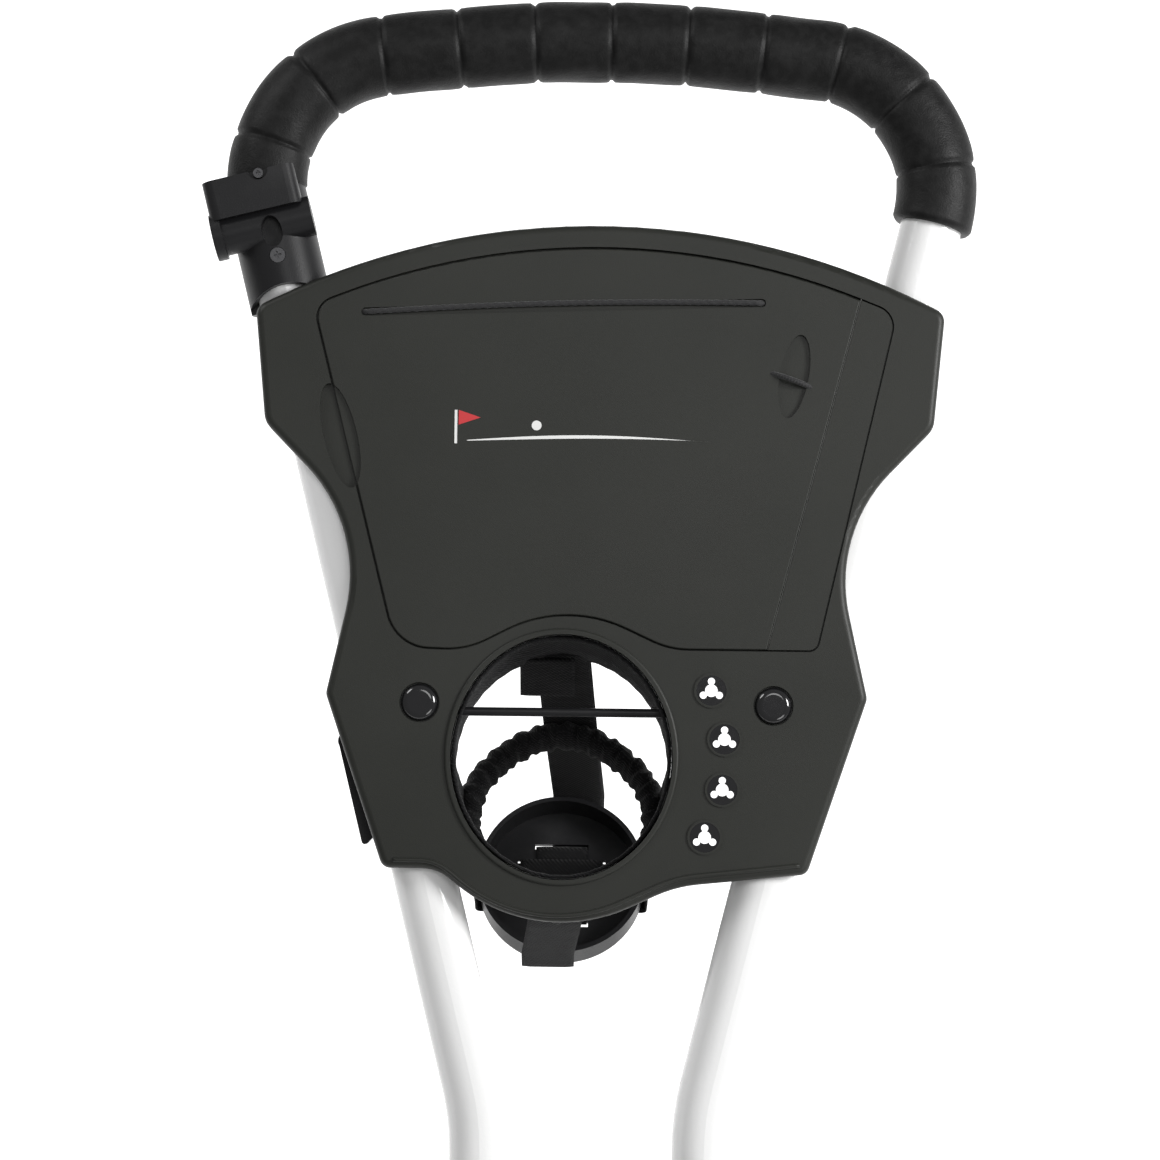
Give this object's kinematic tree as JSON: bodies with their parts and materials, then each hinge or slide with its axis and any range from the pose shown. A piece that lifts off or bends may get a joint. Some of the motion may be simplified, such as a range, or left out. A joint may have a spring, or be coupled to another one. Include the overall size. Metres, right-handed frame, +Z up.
{
  "type": "golf push trolley",
  "caption": "Three-wheel golf push trolley with a folding bent-tube handle, foam grip, moulded scorecard console with lid, tee holders and a hanging drinks holder.",
  "frame": {"origin": "on the ground under the middle of the overall box", "axes": "+Z up, -Y towards the single front wheel, +Y towards the person pushing, +X to the right seen from the front wheel looking at the handle"},
  "size_m": [0.612, 1.2124, 1.0181],
  "materials": {
    "white_paint": "gloss white powder coat",
    "console_plastic": "fine textured matte",
    "grip_foam": "closed-cell foam sleeve",
    "black_plastic": "satin moulded",
    "gloss_black": "gloss",
    "webbing": "woven polyester",
    "elastic": "braided elastic",
    "steel": "zinc plated",
    "tyre_foam": "foam tyre",
    "rim_plastic": "satin white"
  },
  "bodies": {
    "chassis": {"main_tube": "white_paint", "joint_housing": "black_plastic", "pivot_bolt": "steel", "pivot_nut": "steel", "button_spring": "steel", "leg_hinge_lug": "black_plastic", "leg_bolt": "steel", "front_fork": "black_plastic", "front_axle": "steel", "lower_cradle": "black_plastic", "bag_rest": "black_plastic"},
    "handle": {"handle_tube": "white_paint", "handle_grip": "grip_foam", "handle_knuckles": "black_plastic", "console_shell": "console_plastic", "console_tray": "console_plastic", "lid_hinge_strip": "console_plastic", "tee_inserts": "gloss_black", "console_bolts": "gloss_black", "console_clamps": "black_plastic", "clamp_nuts": "steel", "cup_bar": "black_plastic", "cup_webbing": "webbing", "cup_band": "elastic", "umbrella_bracket": "black_plastic", "bracket_screws": "steel", "catch_clip": "black_plastic", "catch_rivet": "steel", "upper_cradle": "black_plastic"},
    "lid": {"scorecard_lid": "console_plastic", "card_elastic": "elastic", "pencil_elastic": "elastic"},
    "cup": {"cup_dish": "black_plastic"},
    "catch": {"fold_catch": "black_plastic"},
    "button": {"fold_button": "black_plastic"},
    "rear_frame": {"rear_legs": "white_paint", "leg_tops": "black_plastic", "rear_crossbar": "white_paint", "axle_feet": "black_plastic", "rear_axles": "steel", "hub_caps": "black_plastic"},
    "rear_left_wheel": {"rear_left_tyre": "tyre_foam", "rear_left_rim": "rim_plastic", "rear_left_bearings": "steel"},
    "rear_right_wheel": {"rear_right_tyre": "tyre_foam", "rear_right_rim": "rim_plastic", "rear_right_bearings": "steel"},
    "front_wheel": {"front_tyre": "tyre_foam", "front_rim": "rim_plastic", "front_bearings": "steel"},
    "pedal": {"brake_pedal": "black_plastic"},
    "brake_bolt": {"brake_pin": "steel"}
  },
  "joints": [
    {"name": "handle_fold", "type": "hinge", "parent": "chassis", "child": "handle", "pos_m": [0, 0.0091, 0.754], "axis": [1, 0, 0], "range_deg": [0, 190]},
    {"name": "rear_frame_fold", "type": "hinge", "parent": "chassis", "child": "rear_frame", "pos_m": [0, -0.01786, 0.65451], "axis": [-1, 0, 0], "range_deg": [0, 50]},
    {"name": "rear_left_wheel_spin", "type": "hinge", "parent": "rear_frame", "child": "rear_left_wheel", "pos_m": [-0.27, 0.1491, 0.145], "axis": [1, 0, 0], "continuous": true},
    {"name": "rear_right_wheel_spin", "type": "hinge", "parent": "rear_frame", "child": "rear_right_wheel", "pos_m": [0.27, 0.1491, 0.145], "axis": [1, 0, 0], "continuous": true},
    {"name": "front_wheel_spin", "type": "hinge", "parent": "chassis", "child": "front_wheel", "pos_m": [0, -0.48623, 0.12], "axis": [1, 0, 0], "continuous": true},
    {"name": "lid_hinge", "type": "hinge", "parent": "handle", "child": "lid", "pos_m": [0.0757, 0.32383, 0.90932], "axis": [-0.2514, -0.8909, -0.3782], "range_deg": [-110, 0]},
    {"name": "cup_slide", "type": "slide", "parent": "handle", "child": "cup", "axis": [0, 0, 1], "range_m": [0, 0.085], "deforming": ["cup_webbing", "cup_band"]},
    {"name": "catch_swing", "type": "hinge", "parent": "handle", "child": "catch", "pos_m": [-0.11106, 0.29288, 0.87446], "axis": [0, 0.3907, -0.9205], "range_deg": [0, 50], "stiffness_Nm_per_rad": 0.01},
    {"name": "button_press", "type": "slide", "parent": "chassis", "child": "button", "axis": [0, -0.5, 0.866], "range_m": [-0.005, 0], "stiffness_N_per_m": 300, "springref_m": 0.001, "deforming": ["button_spring"]},
    {"name": "pedal_press", "type": "hinge", "parent": "rear_frame", "child": "pedal", "pos_m": [0, 0.08232, 0.3488], "axis": [-1, 0, 0], "range_deg": [0, 20]},
    {"name": "brake_bolt_slide", "type": "slide", "parent": "rear_frame", "child": "brake_bolt", "axis": [1, 0, 0], "range_m": [0, 0.006]}
  ],
  "couplings": [
    {"joint": "brake_bolt_slide", "follows": "pedal_press", "m_per_rad": 0.017172}
  ]
}
